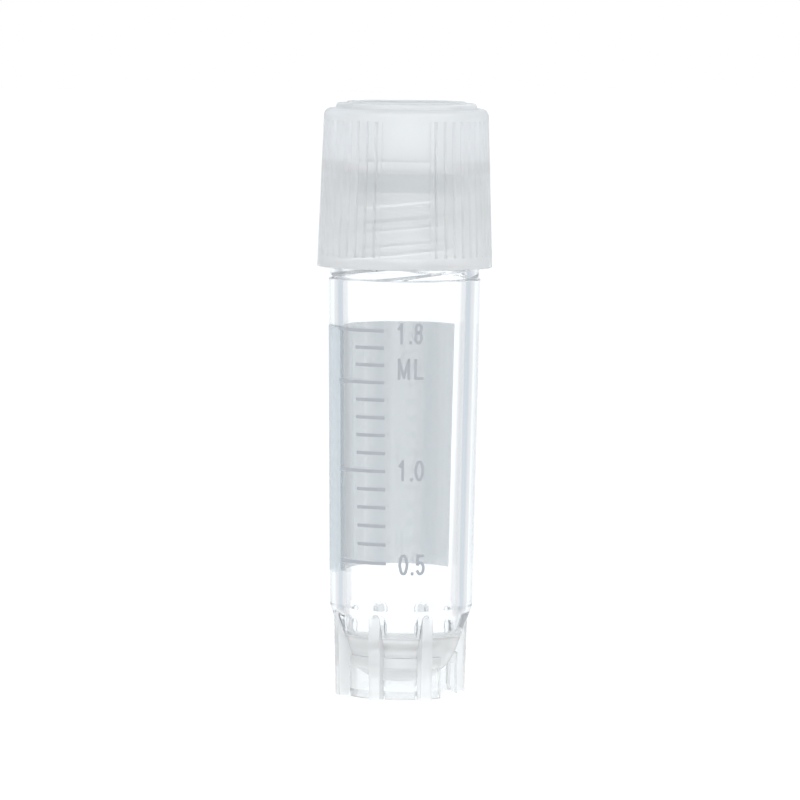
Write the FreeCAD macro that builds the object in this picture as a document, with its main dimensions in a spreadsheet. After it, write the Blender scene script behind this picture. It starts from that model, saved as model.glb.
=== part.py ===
import FreeCAD, Part
import os
import Sketcher

# Self-standing cryogenic vial with an external double-start thread.
# +Z runs up the tube's axis, the foot stands on Z = 0 and the graduated side faces -Y.
# A bearing is counted from -Y towards +X, so the front is 0 and the right-hand side is 90 degrees.

os.makedirs("parts", exist_ok=True)
doc = FreeCAD.newDocument("cryovial")

CLOSE = 1e-3  # mm, for finding an edge by its place

DIMENSIONS = [
    # moulded tube, outside
    ("bodyTopRadius", 6.25),
    ("bodyLowRadius", 5.88),
    ("bodyLowHeight", 7.35),
    ("shoulderHeight", 34.4),
    ("neckRadius", 5.75),
    ("rimHeight", 41.5),
    ("rimChamfer", 0.25),
    # rounded cone that closes the tube
    ("bowlFlatRadius", 1.3),
    ("bowlFlatHeight", 1.1),
    ("bowlLowRadius", 2.9),
    ("bowlLowHeight", 1.62),
    ("bowlConeRadius", 4.0),
    ("bowlConeHeight", 2.55),
    ("bowlTurnRadius", 4.55),
    ("bowlTurnHeight", 3.65),
    # sample cavity
    ("mouthRadius", 5.15),
    ("cavityTopRadius", 5.06),
    ("cavityLowRadius", 4.56),
    ("cavityLowHeight", 5.15),
    ("cavityTipRadius", 0.9),
    ("cavityTipHeight", 1.95),
    # star foot
    ("skirtRadius", 4.7),
    ("skirtInnerRadius", 4.1),
    ("skirtLeadIn", 0.3),
    ("skirtLeadInHeight", 0.62),
    ("ribOuterRadius", 5.77),
    ("ribWidth", 0.95),
    ("ribTopHeight", 7.1),
    ("ribCount", 8),
    ("footChamfer", 0.4),
    ("footRound", 0.35),
    # double-start right-hand thread
    ("threadLead", 4.0),
    ("threadStarts", 2),
    ("threadHeight", 7.6),
    ("threadStartHeight", 33.07),
    ("threadCrestRadius", 6.13),
    ("threadRootWidth", 1.38),
    ("threadCrestWidth", 0.96),
    ("threadSink", 0.2),
    # cap, outside
    ("capBottomHeight", 35.3),
    ("capBottomRadius", 7.2),
    ("capShoulderHeight", 48.3),
    ("capShoulderRadius", 6.74),
    ("capShoulderRound", 0.62),
    ("capShoulderEase", 0.18),
    ("capRingRadius", 5.77),
    ("capRingHeight", 48.72),
    ("capRingEdge", 0.26),
    ("capLipRadius", 4.85),
    ("capLipHeight", 48.86),
    # cap, inside
    ("recessRadius", 4.3),
    ("recessFloorHeight", 44.0),
    ("recessEdge", 0.35),
    ("gasketSeatRadius", 6.08),
    ("gasketSeatHeight", 43.16),
    ("capThreadTopHeight", 41.4),
    ("capBoreRadius", 6.24),
    ("capEntryRadius", 6.62),
    ("capEntryHeight", 35.95),
    ("capThreadStartHeight", 36.07),
    ("capThreadHeight", 4.0),
    ("capThreadCrestRadius", 5.87),
    ("capThreadRootWidth", 0.86),
    ("capThreadCrestWidth", 0.46),
    # knurl
    ("knurlLowHeight", 36.3),
    ("knurlTopHeight", 47.35),
    ("knurlWidth", 0.22),
    ("knurlDepth", 0.16),
    ("knurlPitch", 360 / 52),
    ("knurlCount", 21),
    ("knurlOffset", 3),
    ("panelCount", 2),
    ("panelAngle", 33.4),
    ("panelDepth", 0.05),
    # silicone gasket
    ("gasketRadius", 6.02),
    ("gasketLowHeight", 41.54),
    ("gasketTopHeight", 43.12),
]

sheet = doc.addObject("Spreadsheet::Sheet", "Sheet")
for row, (alias, value) in enumerate(DIMENSIONS, start=1):
    sheet.set(f"A{row}", alias)
    sheet.set(f"B{row}", f"{value:.6g}")
    sheet.setAlias(f"B{row}", alias)
doc.recompute()


def size(expression):
    """The value of an expression in the sheet's aliases."""
    return float(sheet.evalExpression(expression))


def bound(expression):
    """The same expression written for an object outside the sheet."""
    words = expression.split()
    names = [alias for alias, _ in DIMENSIONS]
    return " ".join(f"Sheet.{word}" if word in names else word for word in words)


def newBody(label):
    body = doc.addObject("PartDesign::Body", label)
    body.Label = label
    return body


def newSketch(body, name, role, turn=0.0):
    """A sketch on one of the body's own planes, turned by so many degrees about its upright."""
    plane = [item for item in body.Origin.OriginFeatures if item.Role == role][0]
    sketch = body.newObject("Sketcher::SketchObject", name)
    sketch.AttachmentSupport = [(plane, "")]
    sketch.MapMode = "FlatFace"
    upright = FreeCAD.Vector(0, 0, 1) if role == "XY_Plane" else FreeCAD.Vector(0, 1, 0)
    sketch.AttachmentOffset = FreeCAD.Placement(FreeCAD.Vector(), FreeCAD.Rotation(upright, turn))
    return sketch


def drawOutline(sketch, corners):
    """A closed outline of straight sides. Each corner is a pair of expressions, "0" on an axis."""
    places = [FreeCAD.Vector(size(across), size(up), 0) for across, up in corners]
    count = len(places)
    for index in range(count):
        sketch.addGeometry(Part.LineSegment(places[index], places[(index + 1) % count]))
    for index in range(count):
        sketch.addConstraint(Sketcher.Constraint("Coincident", index, 2, (index + 1) % count, 1))
    for index, corner in enumerate(corners):
        for kind, expression, axis in zip(("DistanceX", "DistanceY"), corner, (-2, -1)):
            if expression == "0":
                sketch.addConstraint(Sketcher.Constraint("PointOnObject", index, 1, axis))
                continue
            added = sketch.addConstraint(
                Sketcher.Constraint(kind, -1, 1, index, 1, size(expression))
            )
            sketch.setExpression(f"Constraints[{added}]", bound(expression))


def turned(body, kind, name, corners):
    """A Revolution or Groove about the tube's axis of an outline given as radius and height."""
    sketch = newSketch(body, name + "_outline", "XZ_Plane")
    drawOutline(sketch, corners)
    feature = body.newObject("PartDesign::" + kind, name)
    feature.Profile = sketch
    feature.ReferenceAxis = (sketch, ["V_Axis"])
    sketch.Visibility = False
    doc.recompute()
    return feature


def repeated(body, name, feature, count):
    """A polar pattern of one feature about the tube's axis."""
    pattern = body.newObject("PartDesign::PolarPattern", name)
    pattern.Originals = [feature]
    zAxis = [item for item in body.Origin.OriginFeatures if item.Role == "Z_Axis"][0]
    pattern.Axis = (zAxis, [""])
    pattern.Angle = 360
    pattern.setExpression("Occurrences", count)
    body.Tip = pattern
    doc.recompute()
    return pattern


def thread(body, name, start, height, rows):
    """One thread ridge: a trapezium swept up a right-hand helix, repeated for each start."""
    sketch = newSketch(body, name + "_outline", "XZ_Plane")
    drawOutline(
        sketch,
        [(radius, f"{start} + {half} / 2") for radius, half in rows]
        + [(radius, f"{start} - {half} / 2") for radius, half in reversed(rows)],
    )
    helix = body.newObject("PartDesign::AdditiveHelix", name)
    helix.Profile = sketch
    helix.ReferenceAxis = (sketch, ["V_Axis"])
    helix.Mode = "pitch-height-angle"
    helix.setExpression("Pitch", bound("threadLead"))
    helix.setExpression("Height", bound(height))
    sketch.Visibility = False
    doc.recompute()
    return repeated(body, name + "_starts", helix, bound("threadStarts"))


def edgesAt(shape, radius, height):
    """The names of the round edges of one radius, centred on the axis, at one height."""
    found = []
    for index, edge in enumerate(shape.Edges, start=1):
        curve = edge.Curve
        if not isinstance(curve, Part.Circle):
            continue
        if abs(curve.Radius - radius) > CLOSE or abs(curve.Center.z - height) > CLOSE:
            continue
        found.append(f"Edge{index}")
    return found


def chamfered(body, name, width, radius, height):
    """A chamfer along the round edge of one radius at one height."""
    base = body.Tip
    names = edgesAt(base.Shape, size(radius), size(height))
    assert names, f"{name} has no edge to work on"
    feature = body.newObject("PartDesign::Chamfer", name)
    feature.Base = (base, names)
    feature.setExpression("Size", bound(width))
    doc.recompute()


def removed(before, after, name):
    """Stops the build when a cut has taken nothing away."""
    assert after.Shape.Volume < before - CLOSE, f"{name} cuts nothing"


# ---------------------------------------------------------------------------
# Tube: star foot, rounded cone, tapered wall and threaded neck, moulded as one

vial = newBody("vial_body")

turned(vial, "Revolution", "skirt", [
    ("0", "0"),
    ("skirtRadius", "0"),
    ("skirtRadius", "bowlTurnHeight"),
    ("0", "bowlTurnHeight"),
])

# Eight fins with round tops reach out from the axis, and the hollow foot then cuts them back to ribs.
ribBearing = 22.5
ribSketch = newSketch(vial, "rib_outline", "XZ_Plane", ribBearing)
halfWidth = size("ribWidth / 2")
archHeight = size("ribTopHeight - ribWidth / 2")
ribSketch.addGeometry([
    Part.LineSegment(FreeCAD.Vector(-halfWidth, 0, 0), FreeCAD.Vector(halfWidth, 0, 0)),
    Part.LineSegment(FreeCAD.Vector(halfWidth, 0, 0), FreeCAD.Vector(halfWidth, archHeight, 0)),
    Part.Arc(
        FreeCAD.Vector(halfWidth, archHeight, 0),
        FreeCAD.Vector(0, archHeight + halfWidth, 0),
        FreeCAD.Vector(-halfWidth, archHeight, 0),
    ),
    Part.LineSegment(FreeCAD.Vector(-halfWidth, archHeight, 0), FreeCAD.Vector(-halfWidth, 0, 0)),
])
ribSketch.addConstraint([
    Sketcher.Constraint("Coincident", 0, 2, 1, 1),
    Sketcher.Constraint("Tangent", 1, 2, 2, 1),
    Sketcher.Constraint("Tangent", 2, 2, 3, 1),
    Sketcher.Constraint("Coincident", 3, 2, 0, 1),
    Sketcher.Constraint("Symmetric", 0, 1, 0, 2, -1, 1),
    Sketcher.Constraint("PointOnObject", 2, 3, -2),
    Sketcher.Constraint("Vertical", 1),
])
widthRow = ribSketch.addConstraint(Sketcher.Constraint("DistanceX", 0, 1, 0, 2, 2 * halfWidth))
heightRow = ribSketch.addConstraint(Sketcher.Constraint("DistanceY", -1, 1, 2, 3, archHeight))
ribSketch.setExpression(f"Constraints[{widthRow}]", bound("ribWidth"))
ribSketch.setExpression(f"Constraints[{heightRow}]", bound("ribTopHeight - ribWidth / 2"))
ribs = vial.newObject("PartDesign::Pad", "rib")
ribs.Profile = ribSketch
ribs.setExpression("Length", bound("ribOuterRadius"))
doc.recompute()
repeated(vial, "ribs", ribs, bound("ribCount"))

# The hollow of the foot has a lead-in at the bottom, and above it the cone is added back.
solidFoot = vial.Tip.Shape.Volume
hollow = turned(vial, "Groove", "foot_hollow", [
    ("0", "0"),
    ("skirtInnerRadius + skirtLeadIn", "0"),
    ("skirtInnerRadius", "skirtLeadInHeight"),
    ("skirtInnerRadius", "bodyLowHeight"),
    ("0", "bodyLowHeight"),
])
removed(solidFoot, hollow, "foot_hollow")

# One whole bay of the skirt, with its rib, is left out as a drain slot.
slotBearing = 67.5
closedSkirt = vial.Tip.Shape.Volume
slotSketch = newSketch(vial, "drain_slot_outline", "XZ_Plane", slotBearing - 90)
drawOutline(slotSketch, [
    ("skirtInnerRadius - skirtLeadIn", "0"),
    ("ribOuterRadius + skirtLeadIn", "0"),
    ("ribOuterRadius + skirtLeadIn", "bodyLowHeight"),
    ("skirtInnerRadius - skirtLeadIn", "bodyLowHeight"),
])
slot = vial.newObject("PartDesign::Groove", "drain_slot")
slot.Profile = slotSketch
slot.ReferenceAxis = (slotSketch, ["V_Axis"])
slot.setExpression("Angle", bound("360 / ribCount"))
slot.Midplane = True
slotSketch.Visibility = False
doc.recompute()
removed(closedSkirt, slot, "drain_slot")

# The ribs and the ends of the skirt lose their sharp corners at the bottom.
sharpFoot = vial.Tip.Shape.Volume
footChamfer = turned(vial, "Groove", "foot_chamfer", [
    ("ribOuterRadius - footChamfer", "0"),
    ("ribOuterRadius + footChamfer", "0"),
    ("ribOuterRadius + footChamfer", "footChamfer + footChamfer"),
])
removed(sharpFoot, footChamfer, "foot_chamfer")
slotCorners = []
for index, edge in enumerate(footChamfer.Shape.Edges, start=1):
    middle = edge.CenterOfMass
    fromAxis = (middle.x ** 2 + middle.y ** 2) ** 0.5
    inSkirt = size("skirtInnerRadius") < fromAxis < size("skirtRadius")
    if abs(middle.z) < CLOSE and inSkirt and isinstance(edge.Curve, Part.Line):
        slotCorners.append(f"Edge{index}")
assert len(slotCorners) == 2, "the slot has two lower corners"
slotRound = vial.newObject("PartDesign::Fillet", "slot_round")
slotRound.Base = (footChamfer, slotCorners)
slotRound.setExpression("Radius", bound("footRound"))
doc.recompute()

turned(vial, "Revolution", "wall", [
    ("0", "bowlFlatHeight"),
    ("bowlFlatRadius", "bowlFlatHeight"),
    ("bowlLowRadius", "bowlLowHeight"),
    ("bowlConeRadius", "bowlConeHeight"),
    ("bowlTurnRadius", "bowlTurnHeight"),
    ("bodyLowRadius", "bodyLowHeight"),
    ("bodyTopRadius", "shoulderHeight"),
    ("neckRadius", "shoulderHeight"),
    ("neckRadius", "rimHeight"),
    ("0", "rimHeight"),
])
chamfered(vial, "rim_chamfer", "rimChamfer", "neckRadius", "rimHeight")

thread(vial, "neck_thread", "threadStartHeight", "threadHeight", [
    ("neckRadius - threadSink", "threadRootWidth"),
    ("neckRadius", "threadRootWidth"),
    ("threadCrestRadius", "threadCrestWidth"),
])

solidTube = vial.Tip.Shape.Volume
cavity = turned(vial, "Groove", "cavity", [
    ("0", "cavityTipHeight"),
    ("cavityTipRadius", "cavityTipHeight"),
    ("cavityLowRadius", "cavityLowHeight"),
    ("cavityTopRadius", "shoulderHeight"),
    ("mouthRadius", "shoulderHeight"),
    ("mouthRadius", "rimHeight"),
    ("0", "rimHeight"),
])
removed(solidTube, cavity, "cavity")

# ---------------------------------------------------------------------------
# Cap: knurled shell with an open recess on top and the matching thread inside

cap = newBody("screw_cap")

turned(cap, "Revolution", "shell", [
    ("capBoreRadius", "capThreadTopHeight"),
    ("capBoreRadius", "capEntryHeight"),
    ("capEntryRadius", "capBottomHeight"),
    ("capBottomRadius", "capBottomHeight"),
    ("capShoulderRadius", "capShoulderHeight - capShoulderRound"),
    ("capShoulderRadius - capShoulderEase", "capShoulderHeight - capShoulderEase"),
    ("capShoulderRadius - capShoulderRound", "capShoulderHeight"),
    ("capRingRadius", "capShoulderHeight"),
    ("capRingRadius", "capRingHeight"),
    ("capLipRadius", "capRingHeight"),
    ("capLipRadius", "capLipHeight"),
    ("recessRadius", "capLipHeight"),
    ("recessRadius", "recessFloorHeight"),
    ("0", "recessFloorHeight"),
    ("0", "gasketSeatHeight"),
    ("gasketSeatRadius", "gasketSeatHeight"),
    ("gasketSeatRadius", "capThreadTopHeight"),
])
chamfered(cap, "ring_edge", "capRingEdge", "capRingRadius", "capRingHeight")
chamfered(cap, "recess_edge", "recessEdge", "recessRadius", "recessFloorHeight")

# A smooth panel, sunk a little, interrupts the knurl at the front and at the back.
plainShell = cap.Tip.Shape.Volume
panelSketch = newSketch(cap, "panel_outline", "XZ_Plane", -90)
wallHeight = "( capShoulderHeight - capShoulderRound - capBottomHeight )"
taper = f"( capBottomRadius - capShoulderRadius ) / {wallHeight}"
panelLow = f"capBottomRadius - ( knurlLowHeight - capBottomHeight ) * {taper}"
panelTop = f"capBottomRadius - ( knurlTopHeight - capBottomHeight ) * {taper}"
drawOutline(panelSketch, [
    (f"{panelLow} - panelDepth", "knurlLowHeight"),
    (f"{panelLow} + panelDepth", "knurlLowHeight"),
    (f"{panelTop} + panelDepth", "knurlTopHeight"),
    (f"{panelTop} - panelDepth", "knurlTopHeight"),
])
panel = cap.newObject("PartDesign::Groove", "panel")
panel.Profile = panelSketch
panel.ReferenceAxis = (panelSketch, ["V_Axis"])
panel.setExpression("Angle", bound("panelAngle"))
panel.Midplane = True
panelSketch.Visibility = False
doc.recompute()
panels = repeated(cap, "panels", panel, bound("panelCount"))
removed(plainShell, panels, "panels")

# The knurl is a fine V-groove that follows the taper, on both sides between the two panels.
knurlBearing = size("knurlOffset * knurlPitch")
grooveEnds = []
for end, height in (("low", "knurlLowHeight"), ("top", "knurlTopHeight")):
    wallRadius = f"capBottomRadius - ( {height} - capBottomHeight ) * {taper}"
    endSketch = newSketch(cap, f"groove_{end}", "XY_Plane", knurlBearing - 90)
    drawOutline(endSketch, [
        (f"{wallRadius} - knurlDepth", "0"),
        (f"{wallRadius} + knurlDepth", "knurlWidth"),
        (f"{wallRadius} + knurlDepth", "0 - knurlWidth"),
    ])
    endSketch.setExpression("AttachmentOffset.Base.z", bound(height))
    endSketch.Visibility = False
    grooveEnds.append(endSketch)
doc.recompute()
panelledShell = cap.Tip.Shape.Volume
groove = cap.newObject("PartDesign::SubtractiveLoft", "knurl_groove")
groove.Profile = grooveEnds[0]
groove.Sections = [(grooveEnds[1], [""])]
groove.Ruled = True
doc.recompute()
removed(panelledShell, groove, "knurl_groove")

knurl = cap.newObject("PartDesign::MultiTransform", "knurl")
knurl.Originals = [groove]
zAxis = [item for item in cap.Origin.OriginFeatures if item.Role == "Z_Axis"][0]
oneSide = cap.newObject("PartDesign::PolarPattern", "knurl_side")
bothSides = cap.newObject("PartDesign::PolarPattern", "knurl_sides")
for pattern, count, angle in (
    (oneSide, "knurlCount", "( knurlCount - 1 ) * knurlPitch"),
    (bothSides, "panelCount", "360"),
):
    pattern.Axis = (zAxis, [""])
    pattern.setExpression("Angle", bound(angle))
    pattern.setExpression("Occurrences", bound(count))
knurl.Transformations = [oneSide, bothSides]
cap.Tip = knurl
doc.recompute()

thread(cap, "cap_thread", "capThreadStartHeight", "capThreadHeight", [
    ("capBoreRadius + threadSink", "capThreadRootWidth"),
    ("capBoreRadius", "capThreadRootWidth"),
    ("capThreadCrestRadius", "capThreadCrestWidth"),
])

# ---------------------------------------------------------------------------
# Gasket: the punched silicone disc that the cap presses on the tube's rim

gasket = newBody("silicone_gasket")

turned(gasket, "Revolution", "disc", [
    ("0", "gasketLowHeight"),
    ("gasketRadius", "gasketLowHeight"),
    ("gasketRadius", "gasketTopHeight"),
    ("0", "gasketTopHeight"),
])

# ---------------------------------------------------------------------------
# Every object has to be sound before anything is written.

doc.recompute()
for item in doc.Objects:
    assert "Invalid" not in item.State and "Error" not in item.State, f"{item.Name} failed"
for body in (vial, cap, gasket):
    assert not body.Shape.isNull() and body.Shape.isValid(), f"{body.Label} isn't sound"
    assert len(body.Shape.Solids) == 1, f"{body.Label} isn't one solid"
    body.Shape.exportStep(f"parts/{body.Label}.step")
    print(f"{body.Label}: {body.Shape.Volume:.1f} mm3, {len(body.Shape.Faces)} faces")
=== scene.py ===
from math import cos, degrees, pi, radians, sin

import bmesh
import bpy
from mathutils import Matrix, Vector


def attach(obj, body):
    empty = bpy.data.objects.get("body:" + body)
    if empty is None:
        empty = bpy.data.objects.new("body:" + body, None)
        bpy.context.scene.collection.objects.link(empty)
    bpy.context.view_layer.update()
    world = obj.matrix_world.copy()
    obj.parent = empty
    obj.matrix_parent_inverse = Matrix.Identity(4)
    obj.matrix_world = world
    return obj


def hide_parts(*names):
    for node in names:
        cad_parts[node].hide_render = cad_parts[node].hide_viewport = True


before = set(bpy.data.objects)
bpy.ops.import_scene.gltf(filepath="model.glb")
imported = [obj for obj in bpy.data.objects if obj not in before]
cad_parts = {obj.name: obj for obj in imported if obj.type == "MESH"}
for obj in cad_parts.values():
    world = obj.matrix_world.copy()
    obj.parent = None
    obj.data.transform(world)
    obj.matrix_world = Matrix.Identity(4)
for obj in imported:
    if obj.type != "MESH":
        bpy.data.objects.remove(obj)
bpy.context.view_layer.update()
scene = bpy.context.scene
print("frame loaded:", ", ".join(sorted(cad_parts)))


# ---- small helpers: every size below is in millimetres until a piece is finished

def linear(hexColour):
    channels = [int(hexColour[i:i + 2], 16) / 255 for i in (1, 3, 5)]
    return (*[c / 12.92 if c <= 0.04045 else ((c + 0.055) / 1.055) ** 2.4 for c in channels], 1)


def addNode(tree, kind, inputs=None, **settings):
    made = tree.nodes.new("ShaderNode" + kind)
    for name, value in settings.items():
        setattr(made, name, value)
    for name, value in (inputs or {}).items():
        if isinstance(value, bpy.types.NodeSocket):
            tree.links.new(value, made.inputs[name])
        else:
            made.inputs[name].default_value = value
    return made


def newMaterial(name):
    material = bpy.data.materials.new(name)
    material.use_nodes = True
    material.node_tree.nodes.clear()
    return material, material.node_tree


def held(corners, closed):
    # a point near both ends of each long side keeps the smooth shading of the side straight
    places = []
    for index, corner in enumerate(corners):
        places.append(corner)
        if index == len(corners) - 1 and not closed:
            break
        following = corners[(index + 1) % len(corners)]
        start, end = Vector(corner[:2]), Vector(following[:2])
        length = (end - start).length
        margins = [0.05 + (other[2] if len(other) > 2 else 0) for other in (corner, following)]
        if length > 2 * sum(margins):
            places.append(tuple(start.lerp(end, margins[0] / length)))
            places.append(tuple(end.lerp(start, margins[1] / length)))
    return places


def drawProfile(bm, corners, closed=True):
    # each corner is radius, height and the length that its rounding takes off both sides
    corners = held(corners, closed)
    verts = [bm.verts.new((corner[0], 0, corner[1])) for corner in corners]
    chain = list(zip(verts, verts[1:]))
    if closed:
        chain.append((verts[-1], verts[0]))
    for pair in chain:
        bm.edges.new(pair)
    for vert, corner in zip(verts, corners):
        if len(corner) > 2:
            bmesh.ops.bevel(bm, geom=[vert], offset=corner[2], offset_type="OFFSET", segments=6,
                            profile=0.5, affect="VERTICES", material=-1)


def lathe(corners, steps, closed=True):
    bm = bmesh.new()
    drawProfile(bm, corners, closed)
    bmesh.ops.spin(bm, geom=bm.verts[:] + bm.edges[:], cent=(0, 0, 0), axis=(0, 0, 1),
                   angle=2 * pi, steps=steps, use_merge=True)
    return tidied(bm)


def tidied(bm):
    bmesh.ops.remove_doubles(bm, verts=bm.verts[:], dist=1e-4)
    bmesh.ops.dissolve_degenerate(bm, edges=bm.edges[:], dist=1e-5)
    bmesh.ops.recalc_face_normals(bm, faces=bm.faces[:])
    return bm


def sweep(corners, angle, steps, start=0.0, rise=0.0):
    # a closed profile carried part of the way round the axis, with both ends filled
    bm = bmesh.new()
    drawProfile(bm, corners)
    first = bmesh.ops.contextual_create(bm, geom=bm.edges[:])["faces"]
    bmesh.ops.rotate(bm, verts=bm.verts[:], cent=(0, 0, 0), matrix=Matrix.Rotation(start, 3, "Z"))
    bmesh.ops.spin(bm, geom=first + first[0].edges[:] + first[0].verts[:], cent=(0, 0, 0),
                   axis=(0, 0, 1), dvec=(0, 0, rise / steps), angle=angle, steps=steps)
    return tidied(bm)


def asObject(bm, name):
    mesh = bpy.data.meshes.new(name)
    bm.to_mesh(mesh)
    bm.free()
    made = bpy.data.objects.new(name, mesh)
    scene.collection.objects.link(made)
    return made


def combined(name, body, tools, operation="UNION"):
    # one solid out of several, as the mould makes it
    for tool in tools:
        step = body.modifiers.new(tool.name, "BOOLEAN")
        step.object = tool
        step.operation = operation
        step.solver = "EXACT"
    result = bpy.data.meshes.new_from_object(
        body.evaluated_get(bpy.context.evaluated_depsgraph_get()))
    for used in [body, *tools]:
        bpy.data.objects.remove(used)
    made = bpy.data.objects.new(name, result)
    scene.collection.objects.link(made)
    return made


def finished(piece, material):
    # millimetres become metres, and edges sharper than the crease angle stay sharp
    creaseAngle = 32
    mesh = piece.data
    mesh.transform(Matrix.Scale(0.001, 4))
    mesh.materials.clear()
    mesh.materials.append(material)
    mesh.shade_smooth()
    mesh.set_sharp_from_angle(angle=radians(creaseAngle))
    print(f"{piece.name}: {sum(len(face.vertices) - 2 for face in mesh.polygons)} triangles")
    return piece


# ---- materials

clearFinish = {
    "blue": "#A8C4DC", "density": 3, "waveScale": 420, "waveHeight": 0.00002,
    # in metres, as the shader sees them: where the frosting starts and where it is full
    "coneHeights": (0.00365, 0.00735), "coneRadii": (0.00472, 0.00588),
    "standing": (0.00002, 0.00007), "ribHeights": (0.0076, 0.0072),
    "skirtRadius": 0.0044, "skirtHalf": (0.0003, 0.00036), "skirtHeights": (0.0024, 0.0026),
    "bowlHeights": (0.0056, 0.0048), "skirtShare": 0.3,
    "roughness": (0.05, 0.25), "transmission": (1.0, 0.62),
}


def clearPolypropylene():
    # random-copolymer polypropylene, injection moulded: the barrel is polished and clear, with
    # faint waves where the melt ran up the wall, and the cone and the ribs are finely frosted
    c = clearFinish
    material, tree = newMaterial("clearMouldedPolypropylene")
    place = addNode(tree, "TexCoord")
    along = addNode(tree, "Mapping", {"Vector": place.outputs["Object"], "Scale": (1, 1, 0.25)})
    waves = addNode(tree, "TexNoise", {"Vector": along.outputs["Vector"],
                                       "Scale": c["waveScale"], "Detail": 2.0})  # 2.4 mm across
    bump = addNode(tree, "Bump", {"Height": waves.outputs["Fac"], "Strength": 0.3,
                                  "Distance": c["waveHeight"]})
    parts = addNode(tree, "SeparateXYZ", {"Vector": place.outputs["Object"]})
    height = parts.outputs["Z"]
    flat = addNode(tree, "VectorMath", {0: place.outputs["Object"], 1: (1, 1, 0)},
                   operation="MULTIPLY")
    radius = addNode(tree, "VectorMath", {0: flat.outputs[0]}, operation="LENGTH")

    # the ribs: all that stands out from the cone
    cone = addNode(tree, "MapRange", {
        "Value": height, "From Min": c["coneHeights"][0], "From Max": c["coneHeights"][1],
        "To Min": c["coneRadii"][0], "To Max": c["coneRadii"][1]})
    standing = addNode(tree, "Math", {0: radius.outputs["Value"], 1: cone.outputs[0]},
                       operation="SUBTRACT")
    rib = addNode(tree, "MapRange", {"Value": standing.outputs[0],
                                     "From Min": c["standing"][0], "From Max": c["standing"][1]})
    lower = addNode(tree, "MapRange", {"Value": height, "From Min": c["ribHeights"][0],
                                       "From Max": c["ribHeights"][1]})
    ribs = addNode(tree, "Math", {0: rib.outputs[0], 1: lower.outputs[0]}, operation="MULTIPLY")

    # the bowl under the bore, with only a share of it on the skirt round it
    offSkirt = addNode(tree, "Math", {0: radius.outputs["Value"], 1: c["skirtRadius"]},
                       operation="SUBTRACT")
    distance = addNode(tree, "Math", {0: offSkirt.outputs[0]}, operation="ABSOLUTE")
    inside = addNode(tree, "MapRange", {
        "Value": distance.outputs[0], "From Min": c["skirtHalf"][0],
        "From Max": c["skirtHalf"][1], "To Min": c["skirtShare"]})
    above = addNode(tree, "MapRange", {"Value": height, "From Min": c["skirtHeights"][0],
                                       "From Max": c["skirtHeights"][1]})
    notSkirt = addNode(tree, "Math", {0: inside.outputs[0], 1: above.outputs[0]},
                       operation="MAXIMUM")
    below = addNode(tree, "MapRange", {"Value": height, "From Min": c["bowlHeights"][0],
                                       "From Max": c["bowlHeights"][1]})
    bowl = addNode(tree, "Math", {0: notSkirt.outputs[0], 1: below.outputs[0]},
                   operation="MULTIPLY")

    frost = addNode(tree, "Math", {0: bowl.outputs[0], 1: ribs.outputs[0]}, operation="MAXIMUM")
    haze = addNode(tree, "MapRange", {"Value": frost.outputs[0], "To Min": c["roughness"][0],
                                      "To Max": c["roughness"][1]})
    clear = addNode(tree, "MapRange", {"Value": frost.outputs[0], "To Min": c["transmission"][0],
                                       "To Max": c["transmission"][1]})
    surface = addNode(tree, "BsdfPrincipled", {
        "Base Color": linear("#FFFFFF"), "Roughness": haze.outputs[0], "IOR": 1.49,
        "Transmission Weight": clear.outputs[0], "Normal": bump.outputs["Normal"]})
    depth = addNode(tree, "VolumeAbsorption", {"Color": linear(c["blue"]),
                                               "Density": c["density"]})
    addNode(tree, "OutputMaterial", {"Surface": surface.outputs["BSDF"],
                                     "Volume": depth.outputs["Volume"]})
    return material


cloudyFinish = {
    "blue": "#A8C4DC", "density": 12, "grainScale": 4000, "grainHeight": 0.00001,
    "roughness": 0.32, "webMiddle": 0.0436, "webHalf": (0.0007, 0.0003), "webGrey": "#F6F4F3",
    # skirtHeights and transmission: less transmission low on the cap is painted light, a larger
    # white diffuse share that makes the skirt lighter
    "skirtHeights": (0.037, 0.043), "transmission": (0.61, 0.7),
}


def cloudyPolypropylene():
    # natural polypropylene, moulded in a fine-grained tool: it blurs what is behind it, the web
    # over the disc is greyer, and the skirt round the thread lets a little less light through, its
    # larger white diffuse share being painted light that makes the lower cap lighter
    c = cloudyFinish
    material, tree = newMaterial("naturalCloudyPolypropylene")
    place = addNode(tree, "TexCoord")
    grain = addNode(tree, "TexNoise", {"Vector": place.outputs["Object"],
                                       "Scale": c["grainScale"], "Detail": 2.0})  # 0.25 mm grain
    bump = addNode(tree, "Bump", {"Height": grain.outputs["Fac"], "Strength": 0.3,
                                  "Distance": c["grainHeight"]})
    parts = addNode(tree, "SeparateXYZ", {"Vector": place.outputs["Object"]})
    offWeb = addNode(tree, "Math", {0: parts.outputs["Z"], 1: c["webMiddle"]},
                     operation="SUBTRACT")
    apart = addNode(tree, "Math", {0: offWeb.outputs[0]}, operation="ABSOLUTE")
    web = addNode(tree, "MapRange", {"Value": apart.outputs[0], "From Min": c["webHalf"][0],
                                     "From Max": c["webHalf"][1]})
    tint = addNode(tree, "Mix", {0: web.outputs[0], 6: linear("#FFFFFF"),
                                 7: linear(c["webGrey"])}, data_type="RGBA")
    # painted light: less transmission low on the cap gives a larger white diffuse share, which
    # makes the skirt lighter
    clear = addNode(tree, "MapRange", {
        "Value": parts.outputs["Z"], "From Min": c["skirtHeights"][0],
        "From Max": c["skirtHeights"][1], "To Min": c["transmission"][0],
        "To Max": c["transmission"][1]})
    surface = addNode(tree, "BsdfPrincipled", {
        "Base Color": tint.outputs[2], "Roughness": c["roughness"], "IOR": 1.49,
        "Transmission Weight": clear.outputs[0], "Normal": bump.outputs["Normal"]})
    depth = addNode(tree, "VolumeAbsorption", {"Color": linear(c["blue"]),
                                               "Density": c["density"]})
    addNode(tree, "OutputMaterial", {"Surface": surface.outputs["BSDF"],
                                     "Volume": depth.outputs["Volume"]})
    return material


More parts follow.
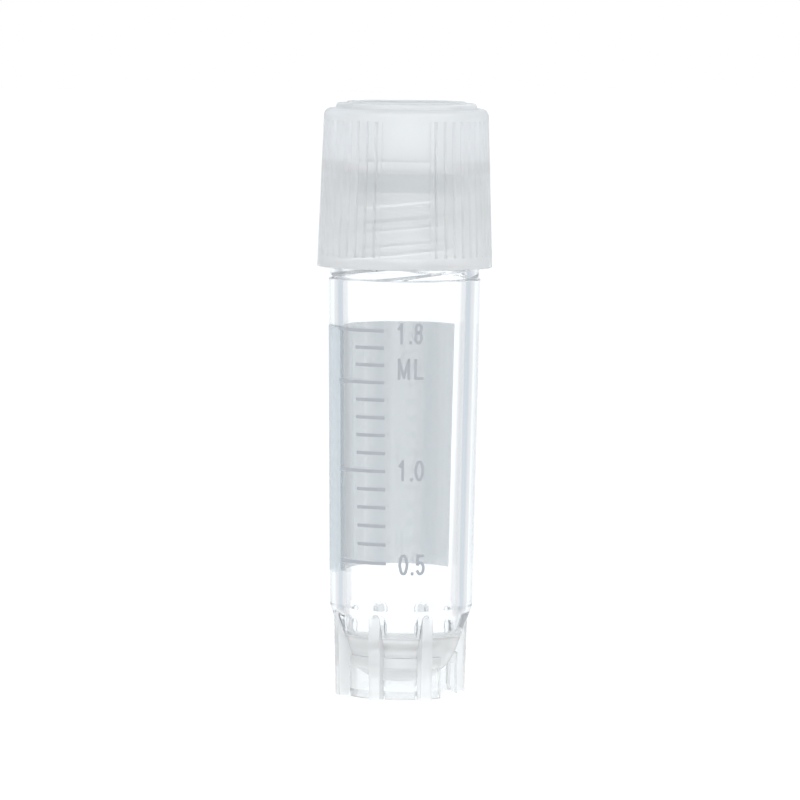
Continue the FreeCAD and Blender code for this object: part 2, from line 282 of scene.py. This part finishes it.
def paleSilicone():
    # compression-moulded silicone: soft grey, dull, and light glows through it
    material, tree = newMaterial("mouldedSilicone")
    place = addNode(tree, "TexCoord")
    cloud = addNode(tree, "TexNoise", {"Vector": place.outputs["Object"], "Scale": 900,
                                       "Detail": 3.0})  # about 1.1 mm across
    tint = addNode(tree, "ValToRGB", {"Fac": cloud.outputs["Fac"]})
    tint.color_ramp.elements[0].color = linear("#E4ECF0")
    tint.color_ramp.elements[1].color = linear("#ECF1F4")
    surface = addNode(tree, "BsdfPrincipled", {
        "Base Color": tint.outputs["Color"], "Roughness": 0.5, "IOR": 1.41,
        "Transmission Weight": 0.75})
    addNode(tree, "OutputMaterial", {"Surface": surface.outputs["BSDF"]})
    return material


def printedInk(name, colour, cover):
    # pad-printed ink, a few micrometres thick: flat colour with a faint mottle, and the light
    # from behind comes through what it doesn't cover
    material, tree = newMaterial(name)
    place = addNode(tree, "TexCoord")
    mottle = addNode(tree, "TexNoise", {"Vector": place.outputs["Object"], "Scale": 2500,
                                        "Detail": 3.0})  # 0.4 mm across
    tint = addNode(tree, "ValToRGB", {"Fac": mottle.outputs["Fac"]})
    tint.color_ramp.elements[0].position = 0.3
    tint.color_ramp.elements[1].position = 0.7
    tint.color_ramp.elements[0].color = linear(colour[0])
    tint.color_ramp.elements[1].color = linear(colour[1])
    surface = addNode(tree, "BsdfPrincipled", {
        "Base Color": tint.outputs["Color"], "Roughness": 0.6, "Alpha": cover})
    addNode(tree, "OutputMaterial", {"Surface": surface.outputs["BSDF"]})
    return material


clearPlastic = clearPolypropylene()
cloudyPlastic = cloudyPolypropylene()
silicone = paleSilicone()
greyInk = printedInk("greyPadPrint", ("#A7AAB0", "#ADB0B6"), 1.0)
whiteInk = printedInk("whitePadPrint", ("#DCE4E9", "#E3EAEF"), 0.37)
print("materials ready")


# ---- tube: tapered wall, rounded cone, star foot and double-start neck thread

tube = {
    "steps": 160,
    # outside of the rounded cone, from the axis out: radius, height, rounding
    "cone": [(0, 1.1), (1.3, 1.1, 0.5), (2.9, 1.62, 0.5), (4.0, 2.55, 0.45), (4.55, 3.65, 0.35)],
    # inside, from the neck down to the axis
    "bore": [(5.15, 34.4, 0.05), (5.06, 34.4, 0.05), (4.56, 5.15, 0.7), (0.9, 1.95, 0.6),
             (0, 1.95)],
    "mouthRadius": 5.15,
    "lowRadius": 5.88, "lowHeight": 7.35, "topRadius": 6.25, "shoulder": 34.4,
    "neckRadius": 5.75, "rim": 41.5,
    "skirtOuter": 4.7, "skirtInner": 4.1, "skirtTop": 3.4, "skirtSteps": 140,
    "leadIn": 0.3, "leadInHeight": 0.62,
    "ribWidth": 0.95, "ribRoot": 4.25, "ribReach": 5.77, "ribTop": 7.1, "ribDraft": 0.22,
    "ribs": 8, "slotBearing": 67.5,
    "lead": 4.0, "starts": 2, "threadFoot": 33.07, "threadHeight": 7.6, "crest": 6.13,
    "rootWidth": 1.38, "crestWidth": 0.96,
}


def wallRadius(height):
    # outside of the tapered wall
    share = (height - tube["lowHeight"]) / (tube["shoulder"] - tube["lowHeight"])
    return tube["lowRadius"] + share * (tube["topRadius"] - tube["lowRadius"])


def atBearing(bearing):
    # bearings run from the front, -Y, towards +X; angles run from +X
    return radians(bearing - 90)


def makeWall():
    t = tube
    return asObject(lathe([
        *t["cone"], (t["lowRadius"], t["lowHeight"], 0.12), (t["topRadius"], t["shoulder"], 0.14),
        (t["neckRadius"], t["shoulder"], 0.08), (t["neckRadius"], t["rim"], 0.24),
        (t["mouthRadius"], t["rim"], 0.08), *t["bore"],
    ], t["steps"]), "wall")


def makeSkirt():
    # a ring with one bay left open
    t = tube
    bay = radians(360 / t["ribs"])
    return asObject(sweep([
        (t["skirtInner"], t["leadInHeight"]), (t["skirtInner"] + t["leadIn"], 0.0, 0.06),
        (t["skirtOuter"], 0.0, 0.06), (t["skirtOuter"], t["skirtTop"]),
        (t["skirtInner"], t["skirtTop"]),
    ], 2 * pi - bay, t["skirtSteps"], start=atBearing(t["slotBearing"]) + bay / 2), "skirt")


def makeRib(bearing):
    # a fin with a round top, pulled out to the foot's full reach
    t = tube
    bm = bmesh.new()
    half = t["ribWidth"] / 2
    bmesh.ops.create_circle(bm, cap_ends=True, segments=32, radius=half)
    bmesh.ops.rotate(bm, verts=bm.verts[:], cent=(0, 0, 0), matrix=Matrix.Rotation(pi / 2, 3, "X"))
    bmesh.ops.translate(bm, verts=bm.verts[:], vec=(0, 0, t["ribTop"] - half))
    for vert in bm.verts:
        if vert.co.z < t["ribTop"] - half + 1e-4:
            vert.co.z = 0
            vert.co.x = half if vert.co.x > 0 else -half
    bmesh.ops.remove_doubles(bm, verts=bm.verts[:], dist=1e-3)
    inner = bm.faces[:]
    outer = bmesh.ops.extrude_face_region(bm, geom=inner)["geom"]
    moved = [item for item in outer if isinstance(item, bmesh.types.BMVert)]
    bmesh.ops.translate(bm, verts=bm.verts[:], vec=(0, -t["ribRoot"], 0))
    bmesh.ops.translate(bm, verts=moved, vec=(0, t["ribRoot"] - t["ribReach"], 0))
    for vert in moved:
        if vert.co.z < 0.1:
            vert.co.y += t["ribDraft"]
    # a loop of edges just under the round top keeps the shading of the flat sides straight
    bmesh.ops.bisect_plane(bm, geom=bm.verts[:] + bm.edges[:] + bm.faces[:], dist=1e-5,
                           plane_co=(0, 0, t["ribTop"] - half - 0.05), plane_no=(0, 0, 1))
    bmesh.ops.rotate(bm, verts=bm.verts[:], cent=(0, 0, 0),
                     matrix=Matrix.Rotation(radians(bearing), 3, "Z"))
    return asObject(tidied(bm), f"rib{bearing:.0f}")


def makeThread(start, size):
    # a trapezium carried up a right-hand helix
    half, crestHalf = size["rootWidth"] / 2, size["crestWidth"] / 2
    foot = size["threadFoot"]
    turns = size["threadHeight"] / size["lead"]
    stepsPerTurn = 96
    corners = [(size["sunk"], foot - half), (size["root"], foot - half),
               (size["crest"], foot - crestHalf, 0.08), (size["crest"], foot + crestHalf, 0.08),
               (size["root"], foot + half), (size["sunk"], foot + half)]
    return asObject(sweep(corners, turns * 2 * pi, round(turns * stepsPerTurn), start=start,
                          rise=size["threadHeight"]), f"ridge{degrees(start):.0f}")


neckRidge = {**tube, "root": tube["neckRadius"], "sunk": tube["neckRadius"] - 0.2}
ribBearings = [(i + 0.5) * 360 / tube["ribs"] for i in range(tube["ribs"])]
tubeTools = [makeSkirt()]
tubeTools += [makeRib(bearing) for bearing in ribBearings if bearing != tube["slotBearing"]]
tubeTools += [makeThread(2 * pi * i / tube["starts"], neckRidge) for i in range(tube["starts"])]
tubePiece = finished(combined("moulded_tube", makeWall(), tubeTools), clearPlastic)
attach(tubePiece, "vial")
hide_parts("vial_body")


# ---- cap: knurled shell, open recess on top, matching thread inside

capShell = {
    "steps": 208, "bottom": 35.3, "bottomRadius": 7.2, "taperTop": 47.68,
    "mouthRadius": 6.62, "mouthTop": 35.95, "shoulder": 48.3, "shoulderRadius": 6.74,
    "shoulderRound": 0.6, "lipRadius": 5.77, "lipTop": 48.72,
    "edgeRadius": 4.85, "recessRadius": 4.3, "top": 48.86,
    "recessFloor": 44.0, "webLow": 43.16, "discRadius": 6.08, "seat": 41.4, "boreRadius": 6.24,
    "knurlLow": 36.3, "knurlTop": 47.35, "knurlWidth": 0.3, "knurlDepth": 0.13, "pitches": 52,
    "firstGroove": 3, "grooves": 21,
    "panelAngle": 33.4, "panelDepth": 0.05, "panelSteps": 24,
    "lead": 4.0, "starts": 2, "threadFoot": 36.07, "threadHeight": 4.0,
    "root": 6.24, "sunk": 6.44, "crest": 5.87, "rootWidth": 0.86, "crestWidth": 0.46,
}


def capRadius(height):
    # outside of the tapered shell
    c = capShell
    share = (height - c["bottom"]) / (c["taperTop"] - c["bottom"])
    return c["bottomRadius"] - share * (c["bottomRadius"] - c["shoulderRadius"])


def makeShell():
    # outside from the bore's lower end up to the lip, then the recess, and the disc's seat
    c = capShell
    return asObject(lathe([
        (c["boreRadius"], c["seat"], 0.05), (c["boreRadius"], c["mouthTop"], 0.1),
        (c["mouthRadius"], c["bottom"], 0.06), (c["bottomRadius"], c["bottom"], 0.1),
        (c["shoulderRadius"], c["shoulder"], c["shoulderRound"]),
        (c["lipRadius"], c["shoulder"], 0.08), (c["lipRadius"], c["lipTop"], 0.26),
        (c["edgeRadius"], c["lipTop"], 0.05), (c["edgeRadius"], c["top"], 0.05),
        (c["recessRadius"], c["top"], 0.12), (c["recessRadius"], c["recessFloor"], 0.2),
        (0, c["recessFloor"]), (0, c["webLow"]), (c["discRadius"], c["webLow"], 0.1),
        (c["discRadius"], c["seat"], 0.04),
    ], c["steps"]), "shell")


def makeGrooves():
    # V-grooves that follow the taper, on both sides between the panels
    c = capShell
    bm = bmesh.new()
    low, top = c["knurlLow"], c["knurlTop"]
    bmesh.ops.create_circle(bm, cap_ends=True, segments=3, radius=1)
    # the cutter is twice as tall as the groove is deep, so its base is twice the groove's width
    reach, half = 2 * c["knurlDepth"], c["knurlWidth"]
    ring = sorted(bm.verts, key=lambda v: v.co.y)
    for vert, (x, y) in zip(ring, ((-half, -reach / 2), (half, -reach / 2), (0, reach / 2))):
        vert.co = (x, y, 0)
    extruded = bmesh.ops.extrude_face_region(bm, geom=bm.faces[:])["geom"]
    upper = [item for item in extruded if isinstance(item, bmesh.types.BMVert)]
    bmesh.ops.translate(bm, verts=upper, vec=(0, capRadius(low) - capRadius(top), top - low))
    bmesh.ops.translate(bm, verts=bm.verts[:], vec=(0, -capRadius(low), low))
    pitch = 2 * pi / c["pitches"]
    first = Matrix.Rotation(c["firstGroove"] * pitch, 3, "Z")
    bmesh.ops.rotate(bm, verts=bm.verts[:], cent=(0, 0, 0), matrix=first)
    bmesh.ops.spin(bm, geom=bm.faces[:] + bm.edges[:] + bm.verts[:], cent=(0, 0, 0),
                   axis=(0, 0, 1), angle=(c["grooves"] - 1) * pitch, steps=c["grooves"] - 1,
                   use_duplicate=True)
    other = bmesh.ops.duplicate(bm, geom=bm.faces[:] + bm.edges[:] + bm.verts[:])["geom"]
    bmesh.ops.rotate(bm, verts=[item for item in other if isinstance(item, bmesh.types.BMVert)],
                     cent=(0, 0, 0), matrix=Matrix.Rotation(pi, 3, "Z"))
    bmesh.ops.recalc_face_normals(bm, faces=bm.faces[:])
    return asObject(bm, "grooves")


def makePanel(bearing):
    # a smooth panel, sunk a little, that interrupts the knurl
    c = capShell
    low, top, deep = c["knurlLow"], c["knurlTop"], c["panelDepth"]
    wide = radians(c["panelAngle"])
    return asObject(sweep([
        (capRadius(low) - deep, low), (capRadius(low) + 0.5, low),
        (capRadius(top) + 0.5, top), (capRadius(top) - deep, top),
    ], wide, c["panelSteps"], start=atBearing(bearing) - wide / 2), f"panel{bearing}")


cuts = [makeGrooves(), makePanel(0), makePanel(180)]
shell = combined("shell", makeShell(), cuts, "DIFFERENCE")
capRidges = [makeThread(2 * pi * i / capShell["starts"], capShell)
             for i in range(capShell["starts"])]
capPiece = finished(combined("knurled_cap", shell, capRidges), cloudyPlastic)
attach(capPiece, "cap")
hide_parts("screw_cap")


# ---- silicone disc

disc = {"steps": 128, "radius": 6.02, "low": 41.54, "top": 43.12, "edge": 0.06}
discPiece = finished(asObject(lathe([
    (0, disc["low"]), (disc["radius"], disc["low"], disc["edge"]),
    (disc["radius"], disc["top"], disc["edge"]), (0, disc["top"]),
], disc["steps"], closed=False), "sealing_disc"), silicone)
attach(discPiece, "gasket")
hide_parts("silicone_gasket")


# ---- print: graduation lines and numbers in grey, writing patch in white

ink = {
    "gap": 0.004, "thick": 0.012, "lineWidth": 0.27, "lowMark": 11.33, "topMark": 30.34,
    "marks": 14, "crowding": 0.05, "longMarks": (0, 5, 10, 13),
    # bearings in degrees from the front
    "lineRight": -15.3, "shortLeft": -39.9, "longLeft": -59.5, "letterLeft": -5.0, "lean": 2.9,
    "letterHeight": 1.72, "pen": 0.235, "dotSlot": 0.97, "lastSlot": 1.35,
    "words": (("0.5", 11.26), ("1.0", 18.97), ("ML", 27.26), ("1.8", 30.16)),
    "patchLow": 10.2, "patchTop": 30.42, "patchFrom": -57.0, "patchTo": -236.5,
}


def arcBand(low, top, fromBearing, toBearing):
    # a thin band of ink on the wall between two heights and two bearings
    start = atBearing(min(fromBearing, toBearing))
    angle = radians(abs(toBearing - fromBearing))
    inner, outer = ink["gap"], ink["gap"] + ink["thick"]
    return sweep([
        (wallRadius(low) + inner, low), (wallRadius(low) + outer, low),
        (wallRadius(top) + outer, top), (wallRadius(top) + inner, top),
    ], angle, max(4, round(degrees(angle) / 2)), start=start)


def markHeight(index):
    # the marks crowd a little towards the top, where the tube is wider
    share = index / (ink["marks"] - 1)
    share *= 1 + ink["crowding"] * (1 - share)
    return ink["lowMark"] + (ink["topMark"] - ink["lowMark"]) * share


def leaning(height):
    # the printing pad turned a little on the round wall, so the print drifts round going down
    return ink["lean"] * (ink["topMark"] - height) / (ink["topMark"] - ink["lowMark"])


def makeScale():
    bm = bmesh.new()
    scratch = bpy.data.meshes.new("line")
    for index in range(ink["marks"]):
        left = ink["longLeft"] if index in ink["longMarks"] else ink["shortLeft"]
        middle = markHeight(index)
        line = arcBand(middle - ink["lineWidth"] / 2, middle + ink["lineWidth"] / 2,
                       left + leaning(middle), ink["lineRight"] + leaning(middle))
        line.to_mesh(scratch)
        bm.from_mesh(scratch)
        line.free()
    return asObject(bm, "graduation_lines")


# a letter is its width and its pen strokes: straight ones, round ones and closed loops, all
# in a box one wide and one high
letters = {
    "0": (0.73, {"loop": [[(0.5, 1), (1, 0.72), (1, 0.28), (0.5, 0), (0, 0.28), (0, 0.72)]]}),
    "1": (0.47, {"straight": [[(1, 0), (1, 1)], [(0.05, 0.76), (0.85, 0.93)]]}),
    "5": (0.79, {"straight": [[(0.14, 1), (0.85, 1)], [(0.14, 1), (0.06, 0.55)]],
                 "round": [[(0.06, 0.5), (0.5, 0.62), (1, 0.32), (0.5, 0), (0, 0.2)]]}),
    "8": (0.75, {"loop": [[(0.5, 1), (0.94, 0.79), (0.5, 0.56), (0.06, 0.79)],
                          [(0.5, 0.56), (1, 0.28), (0.5, 0), (0, 0.28)]]}),
    ".": (0.27, {"straight": [[(0, 0), (0, 0.02)]]}),
    "M": (1.03, {"straight": [[(0, 0), (0, 1)], [(1, 0), (1, 1)], [(0.04, 0.94), (0.5, 0.06)],
                              [(0.96, 0.94), (0.5, 0.06)]]}),
    "L": (0.79, {"straight": [[(0, 0), (0, 1)], [(0, 0), (1, 0)]]}),
}


def drawLetter(curve, letter, left):
    half = ink["pen"] / 2
    width, strokes = letters[letter]
    tall = ink["letterHeight"]
    for kind, group in strokes.items():
        for points in group:
            places = [Vector((left + half + x * (width - ink["pen"]),
                              (y - 0.5) * (tall - ink["pen"]), 0)) for x, y in points]
            if kind == "straight":
                reach = (places[1] - places[0]).normalized() * half
                places = [places[0] - reach, places[1] + reach]
            spline = curve.splines.new("BEZIER")
            spline.bezier_points.add(len(places) - 1)
            spline.use_cyclic_u = kind == "loop"
            for knot, place in zip(spline.bezier_points, places):
                knot.co = place
                knot.handle_left_type = knot.handle_right_type = "AUTO"


def makeWord(word, height):
    # a round pen drawn along each stroke, then pressed flat on the wall
    curve = bpy.data.curves.new(word, "CURVE")
    curve.dimensions = "3D"
    curve.bevel_depth = ink["pen"] / 2
    curve.bevel_resolution = 3
    curve.resolution_u = 6
    curve.use_fill_caps = True
    for index, letter in enumerate(word):
        slot = 0 if index == 0 else ink["dotSlot"] if letter == "." else ink["lastSlot"]
        drawLetter(curve, letter, slot)
    drawn = bpy.data.objects.new(word, curve)
    scene.collection.objects.link(drawn)
    mesh = bpy.data.meshes.new_from_object(
        drawn.evaluated_get(bpy.context.evaluated_depsgraph_get()))
    bpy.data.objects.remove(drawn)
    bm = bmesh.new()
    bm.from_mesh(mesh)
    start = radians(ink["letterLeft"] + leaning(height))
    for vert in bm.verts:
        up = height + vert.co.y
        bearing = start + vert.co.x / wallRadius(height)
        reach = wallRadius(up) + ink["gap"] + ink["thick"] * (0.5 + vert.co.z / ink["pen"])
        vert.co = (reach * sin(bearing), -reach * cos(bearing), up)
    return asObject(tidied(bm), "graduation_" + word.replace(".", "_"))


lines = finished(makeScale(), greyInk)
words = [finished(makeWord(word, height), greyInk) for word, height in ink["words"]]
patch = finished(asObject(arcBand(ink["patchLow"], ink["patchTop"], ink["patchFrom"],
                                  ink["patchTo"]), "writing_patch"), whiteInk)
for piece in [lines, *words, patch]:
    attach(piece, "vial")
print("print on the tube done")


# ---- studio: white all round, a floor that keeps the shadow, and soft lamps

studio = {
    "floorSize": 4.0, "floorPaint": "#707070", "floorGlow": 0.88, "worldForLight": "#F7FCFF",
    # how much stronger the white is where it comes through the plastic
    "through": 1.12,
    # the screens' tone against how far a direction lies from the middle of its screen
    "gapTones": ((0.66, "#F7FCFF"), (0.77, "#D3D2D4"), (0.93, "#D1D2D5"), (0.965, "#B3BEC6")),
    "lowering": 1.5, "lookedFrom": 0.006, "lampsAimAt": 0.025,
    # name, place, size and watts
    "lamps": (("keyLamp", (-0.35, -0.35, 0.45), (0.3, 0.3), 0.6),
              ("fillLamp", (0.45, -0.15, 0.3), (0.3, 0.4), 0.5)),
}


def screenTone(tree, way):
    # four broad white screens stand round the object, with low grey gaps between them
    low = addNode(tree, "VectorMath", {0: way, 1: (1, 1, studio["lowering"])}, operation="MULTIPLY")
    unit = addNode(tree, "VectorMath", {0: low.outputs[0]}, operation="NORMALIZE")
    parts = addNode(tree, "SeparateXYZ", {"Vector": unit.outputs[0]})
    across = addNode(tree, "Math", {0: parts.outputs["X"], 1: parts.outputs["Y"]},
                     operation="MULTIPLY")
    size = addNode(tree, "Math", {0: across.outputs[0]}, operation="ABSOLUTE")
    share = addNode(tree, "Math", {0: size.outputs[0], 1: 2}, operation="MULTIPLY")
    tone = addNode(tree, "ValToRGB", {"Fac": share.outputs[0]})
    ramp = tone.color_ramp.elements
    (firstPosition, firstColour), *others = studio["gapTones"]
    ramp[0].position, ramp[0].color = firstPosition, linear(firstColour)
    ramp[1].position, ramp[1].color = 1.0, linear(others[-1][1])
    for position, colour in others:
        ramp.new(position).color = linear(colour)
    rays = addNode(tree, "LightPath")
    seen = addNode(tree, "Math", {0: rays.outputs["Is Glossy Ray"],
                                  1: rays.outputs["Is Transmission Ray"]}, operation="MAXIMUM")
    lift = addNode(tree, "MapRange", {"Value": rays.outputs["Is Transmission Ray"],
                                      "To Min": 1.0, "To Max": studio["through"]})
    return seen.outputs[0], tone.outputs["Color"], lift.outputs[0]


def makeWorld():
    # plain white to the eye; the screens show only in and through the plastic, and the light
    # that falls on the object is an even cool white
    world = bpy.data.worlds.new("studio")
    world.use_nodes = True
    scene.world = world
    tree = world.node_tree
    tree.nodes.clear()
    way = addNode(tree, "TexCoord")
    seen, tone, lift = screenTone(tree, way.outputs["Generated"])
    light = addNode(tree, "Mix", {0: seen, 6: linear(studio["worldForLight"]), 7: tone},
                    data_type="RGBA")
    rays = addNode(tree, "LightPath")
    shown = addNode(tree, "Mix", {0: rays.outputs["Is Camera Ray"], 6: light.outputs[2],
                                  7: (1, 1, 1, 1)}, data_type="RGBA")
    white = addNode(tree, "Background", {"Color": shown.outputs[2], "Strength": lift})
    addNode(tree, "OutputWorld", {"Surface": white.outputs[0]})


def makeFloor():
    # glowing white, with some paint to hold the shadow
    bm = bmesh.new()
    bmesh.ops.create_grid(bm, x_segments=1, y_segments=1, size=studio["floorSize"] / 2)
    floor = asObject(bm, "floor")
    material, tree = newMaterial("whiteFloor")
    place = addNode(tree, "TexCoord")
    down = addNode(tree, "VectorMath", {0: place.outputs["Object"],
                                        1: (0, 0, studio["lookedFrom"])}, operation="SUBTRACT")
    seen, tone, lift = screenTone(tree, down.outputs[0])
    glow = addNode(tree, "Math", {0: lift, 1: studio["floorGlow"]}, operation="MULTIPLY")
    shade = addNode(tree, "Mix", {0: seen, 6: (1, 1, 1, 1), 7: tone}, data_type="RGBA")
    paint = addNode(tree, "BsdfDiffuse", {"Color": linear(studio["floorPaint"])})
    lit = addNode(tree, "Emission", {"Color": shade.outputs[2], "Strength": glow.outputs[0]})
    both = addNode(tree, "AddShader", {0: paint.outputs[0], 1: lit.outputs[0]})
    addNode(tree, "OutputMaterial", {"Surface": both.outputs[0]})
    floor.data.materials.append(material)


def makeLamp(name, spot, size, watts):
    data = bpy.data.lights.new(name, "AREA")
    data.shape = "RECTANGLE"
    data.size, data.size_y = size
    data.energy = watts
    lamp = bpy.data.objects.new(name, data)
    lamp.location = spot
    aim = Vector((0, 0, studio["lampsAimAt"])) - lamp.location
    lamp.rotation_euler = aim.to_track_quat("-Z", "Y").to_euler()
    scene.collection.objects.link(lamp)


makeWorld()
makeFloor()
for lampSettings in studio["lamps"]:
    makeLamp(*lampSettings)
print("studio ready")


# ---- camera, in metres and degrees

view = {"distance": 0.465, "height": 0.061, "aside": -0.00027, "pitch": -4.516, "roll": 0.62,
        "lens": 254.9}
camera = bpy.data.objects.new("camera", bpy.data.cameras.new("camera"))
camera.data.lens = view["lens"]
camera.data.clip_start = 0.01
turn = Matrix.Rotation(radians(90 + view["pitch"]), 4, "X") @ Matrix.Rotation(
    radians(view["roll"]), 4, "Z")
camera.matrix_world = Matrix.Translation((view["aside"], -view["distance"], view["height"])) @ turn
scene.collection.objects.link(camera)
scene.camera = camera
scene.view_settings.view_transform = "Standard"
# light runs a long way round inside a clear wall before it comes out
scene.cycles.max_bounces = 64
scene.cycles.transmission_bounces = 64
scene.cycles.glossy_bounces = 64
scene.cycles.diffuse_bounces = 16
scene.cycles.transparent_max_bounces = 32
